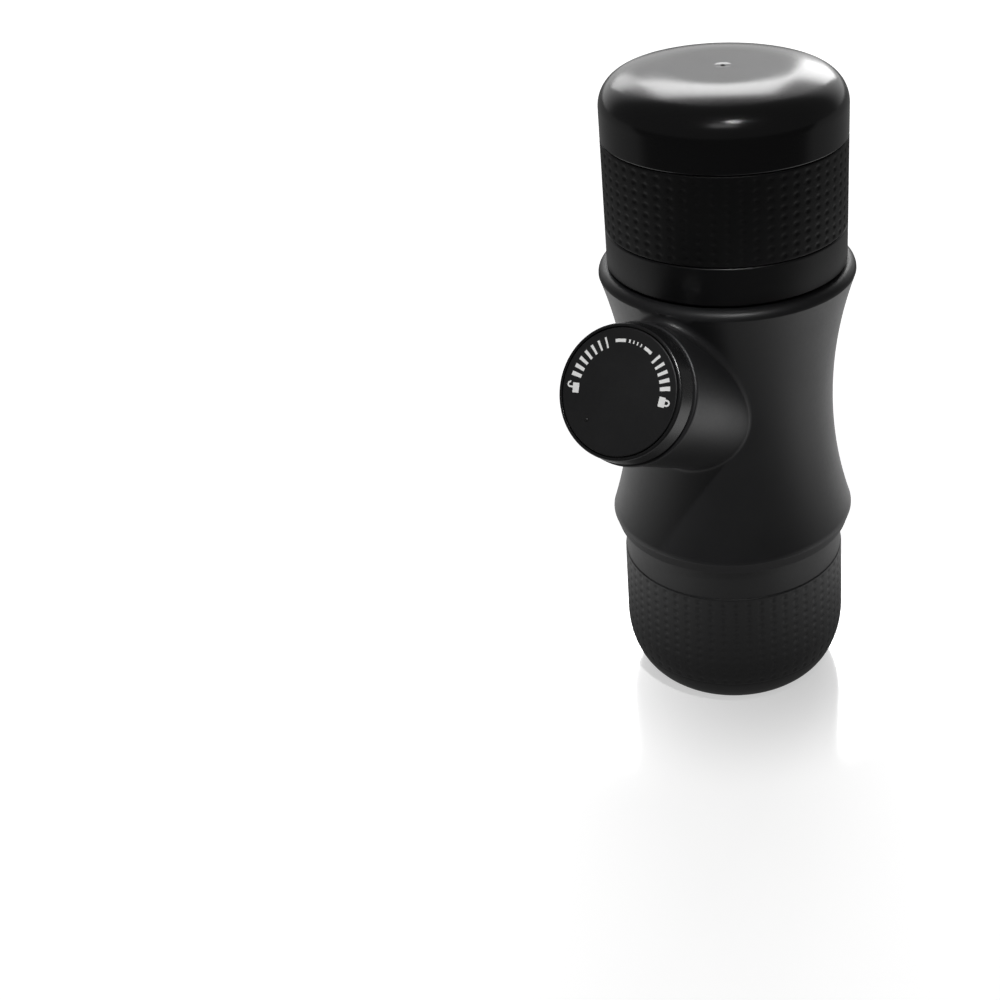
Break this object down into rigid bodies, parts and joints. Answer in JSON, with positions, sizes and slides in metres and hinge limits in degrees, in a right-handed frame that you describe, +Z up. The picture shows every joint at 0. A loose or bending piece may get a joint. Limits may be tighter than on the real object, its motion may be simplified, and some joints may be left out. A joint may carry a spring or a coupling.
{
  "type": "handheld manual espresso maker",
  "caption": "Waisted handheld espresso pump on its own cup, with a screw-on water tank, a side plunger knob that turns to lock, and a screw-off outlet head with a basket",
  "frame": {"origin": "middle of the cup's flat base, on the axis of the body", "axes": "+Z up along the body's axis; the pump boss and its knob point to -Y and rise 30 degrees; +X to the right seen from the knob's side"},
  "size_m": [0.0644, 0.0929, 0.1695],
  "materials": {
    "satin_black": "satin",
    "cap_black": "satin gloss",
    "cup_black": "satin",
    "disc_black": "matt with printed marks",
    "grip_rubber": "matt",
    "seal_rubber": "matt",
    "red_silicone": "matt",
    "inner_plastic": "natural",
    "inner_black": "satin",
    "steel": "brushed"
  },
  "bodies": {
    "main": {"main_body_shell": "satin_black", "boss_trim_ring": "satin_black", "group_head": "satin_black", "group_gasket": "red_silicone", "shower_screen": "steel", "shower_screw": "steel", "cup_retaining_ring": "seal_rubber", "pump_block": "inner_plastic", "inlet_manifold": "inner_plastic", "chassis_screws": "steel", "pump_cylinder": "inner_plastic", "cylinder_screws": "steel", "cylinder_seal": "seal_rubber", "inlet_valve_seat": "inner_plastic", "inlet_valve_spring": "steel", "outlet_valve_seat": "inner_plastic", "outlet_valve_spring": "steel", "return_spring": "steel", "tank_socket": "satin_black", "inlet_strainer": "steel"},
    "lock": {"lock_ring": "inner_black"},
    "plunger": {"plunger_tube": "inner_black", "piston_rod": "steel", "piston_head": "inner_plastic", "piston_seals": "seal_rubber", "knob_cap": "satin_black", "knob_face_disc": "disc_black", "knob_screw": "steel"},
    "inlet_ball": {"inlet_valve_ball": "steel"},
    "outlet_ball": {"outlet_valve_ball": "steel"},
    "seal": {"tank_seal": "red_silicone"},
    "tank": {"tank_vessel": "cap_black", "tank_collar": "satin_black", "tank_grip_band": "grip_rubber", "tank_end_cap": "cap_black"},
    "basket": {"coffee_basket": "steel", "basket_screen": "steel"},
    "head": {"outlet_head": "satin_black", "outlet_nozzle": "cup_black"},
    "cup": {"cup": "cup_black"}
  },
  "joints": [
    {"name": "knob_turn", "type": "hinge", "parent": "main", "child": "lock", "pos_m": [0, 0, 0.0772], "axis": [0, -0.866, 0.5], "range_deg": [0, 60]},
    {"name": "plunger_stroke", "type": "slide", "parent": "lock", "child": "plunger", "axis": [0, -0.866, 0.5], "range_m": [0, 0.018]},
    {"name": "inlet_valve_lift", "type": "slide", "parent": "main", "child": "inlet_ball", "axis": [0, 0, -1], "range_m": [0, 0.0008], "stiffness_N_per_m": 20, "springref_m": -0.0005, "deforming": ["inlet_valve_spring"]},
    {"name": "outlet_valve_lift", "type": "slide", "parent": "main", "child": "outlet_ball", "axis": [0, 0, -1], "range_m": [0, 0.0008], "stiffness_N_per_m": 20, "springref_m": -0.0005, "deforming": ["outlet_valve_spring"]},
    {"name": "tank_lift", "type": "slide", "parent": "main", "child": "seal", "axis": [0, 0, 1], "range_m": [0, 0.008]},
    {"name": "tank_turn", "type": "hinge", "parent": "seal", "child": "tank", "pos_m": [0, 0, 0.12], "axis": [0, 0, 1], "range_deg": [0, 720]},
    {"name": "head_drop", "type": "slide", "parent": "main", "child": "basket", "axis": [0, 0, -1], "range_m": [0, 0.003]},
    {"name": "head_turn", "type": "hinge", "parent": "basket", "child": "head", "pos_m": [0, 0, 0.046], "axis": [0, 0, -1], "range_deg": [0, 360]},
    {"name": "cup_pull", "type": "slide", "parent": "main", "child": "cup", "axis": [0, 0, -1], "range_m": [0, 0.05]}
  ],
  "couplings": [
    {"joint": "tank_lift", "follows": "tank_turn", "m_per_rad": 0.00063662},
    {"joint": "head_drop", "follows": "head_turn", "m_per_rad": 0.00047746}
  ]
}
